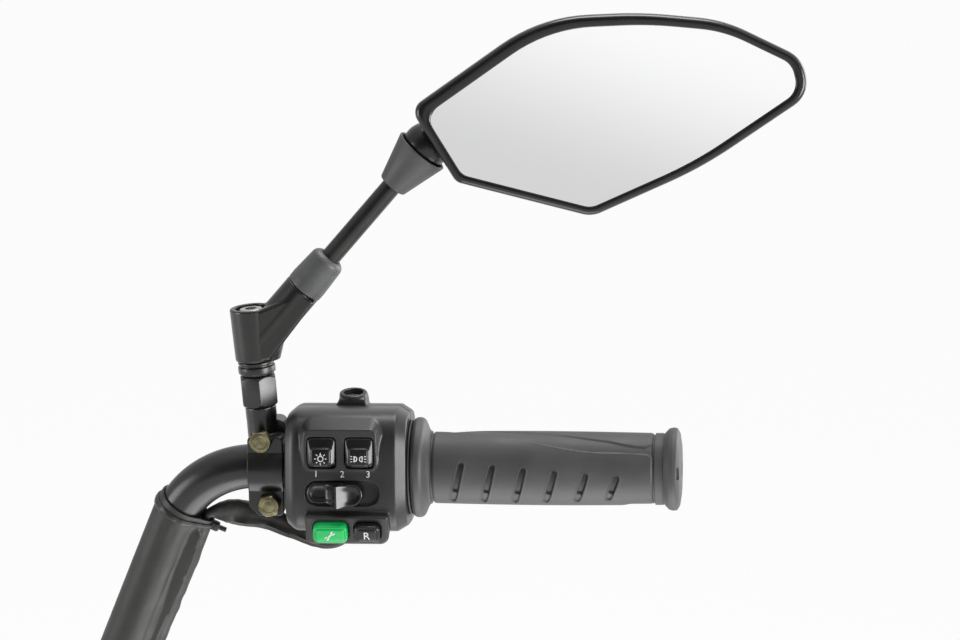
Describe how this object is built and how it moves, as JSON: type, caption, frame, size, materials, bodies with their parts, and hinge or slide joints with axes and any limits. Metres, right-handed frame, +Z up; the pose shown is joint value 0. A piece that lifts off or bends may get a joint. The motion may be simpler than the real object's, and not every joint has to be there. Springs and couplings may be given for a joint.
{
  "type": "right-hand handlebar end",
  "caption": "Right-hand end of an electric scooter handlebar: bent bar, mirror on a swivelling arm, switch case with keys, slider and buttons, and a twist throttle grip.",
  "frame": {"origin": "centre of the bar's cut lower end, where the stem holds it", "axes": "+X along the grip to its outer end, +Y away from the rider, +Z up"},
  "size_m": [0.3697, 0.0765, 0.36],
  "materials": {
    "black_paint": "gloss black paint",
    "satin_plastic": "satin dark grey moulded plastic",
    "gloss_plastic": "glossy black moulded plastic",
    "rubber": "matt dark grey rubber",
    "grey_rubber": "satin grey rubber",
    "sleeve_vinyl": "satin black vinyl",
    "zinc_gold": "yellow zinc plated steel",
    "steel": "plain steel",
    "mirror": "polished mirror glass",
    "foam": "soft foam",
    "nylon": "natural nylon",
    "green_plastic": "glossy green moulded plastic",
    "board": "green circuit board",
    "magnet": "sintered magnet"
  },
  "bodies": {
    "bar": {"handlebar_tube": "black_paint", "bar_end_plug": "satin_plastic", "cable_sleeve": "sleeve_vinyl", "sleeve_tie": "satin_plastic", "wiring_loom": "sleeve_vinyl", "loom_connector": "satin_plastic", "loom_gland": "rubber", "clamp_front": "black_paint", "clamp_rear": "black_paint", "clamp_bolt_upper": "zinc_gold", "clamp_bolt_lower": "zinc_gold", "post_lock_nut": "black_paint", "swivel_collar": "black_paint", "swivel_bolt": "steel", "case_front": "satin_plastic", "case_rear": "satin_plastic", "lug_screw": "steel", "case_screw_upper": "steel", "case_screw_lower": "steel", "rocker_pin": "steel", "light_contact": "satin_plastic", "position_contact": "satin_plastic", "slider_contact": "satin_plastic", "repair_switch": "satin_plastic", "reverse_switch": "satin_plastic", "button_board": "board", "switch_board": "board", "board_screw_upper": "steel", "board_screw_lower": "steel", "throttle_seal": "rubber", "hall_sensor": "satin_plastic", "throttle_spring": "steel"},
    "mirror_arm": {"swivel_block": "black_paint", "stem_lock_nut": "steel", "stem_boot": "grey_rubber", "mirror_stem": "black_paint", "stem_cone": "rubber"},
    "ball_seat": {"ball_seat": "nylon"},
    "mirror_head": {"mirror_shell": "gloss_plastic", "mirror_bezel": "gloss_plastic", "mirror_glass": "mirror", "glass_pad": "foam"},
    "light_key": {"light_key": "gloss_plastic"},
    "position_key": {"position_key": "gloss_plastic"},
    "speed_slider": {"speed_slider": "gloss_plastic", "slider_carriage": "nylon"},
    "repair_button": {"repair_button": "green_plastic"},
    "reverse_button": {"reverse_button": "gloss_plastic"},
    "throttle": {"throttle_tube": "nylon", "grip_rubber": "rubber", "throttle_magnet": "magnet"}
  },
  "joints": [
    {"name": "throttle_twist", "type": "hinge", "parent": "bar", "child": "throttle", "pos_m": [0.22345, -0.02685, 0.12739], "axis": [1, 0, 0], "range_deg": [0, 65], "stiffness_Nm_per_rad": 0.26},
    {"name": "light_rocker", "type": "hinge", "parent": "bar", "child": "light_key", "pos_m": [0.1221, -0.0516, 0.14162], "axis": [1, 0, 0], "range_deg": [0, 14]},
    {"name": "position_rocker", "type": "hinge", "parent": "bar", "child": "position_key", "pos_m": [0.1408, -0.0516, 0.14162], "axis": [1, 0, 0], "range_deg": [0, 14]},
    {"name": "speed_slide", "type": "slide", "parent": "bar", "child": "speed_slider", "axis": [1, 0, 0], "range_m": [0, 0.007]},
    {"name": "repair_press", "type": "slide", "parent": "bar", "child": "repair_button", "axis": [0, 0.9659, 0.2588], "range_m": [0, 0.0025], "stiffness_N_per_m": 600},
    {"name": "reverse_press", "type": "slide", "parent": "bar", "child": "reverse_button", "axis": [0, 0.9659, 0.2588], "range_m": [0, 0.0025], "stiffness_N_per_m": 600},
    {"name": "mirror_arm_swivel", "type": "hinge", "parent": "bar", "child": "mirror_arm", "pos_m": [0.08632, -0.02685, 0.18944], "axis": [-0.0698, 0, 0.9976], "range_deg": [-40, 60]},
    {"name": "mirror_pan", "type": "hinge", "parent": "mirror_arm", "child": "ball_seat", "pos_m": [0.17423, -0.02685, 0.29057], "axis": [-0.0106, 0.0865, 0.9962], "range_deg": [-12, 12]},
    {"name": "mirror_tilt", "type": "hinge", "parent": "ball_seat", "child": "mirror_head", "pos_m": [0.17423, -0.02685, 0.29057], "axis": [0.9925, 0.1219, 0], "range_deg": [-12, 12]}
  ]
}
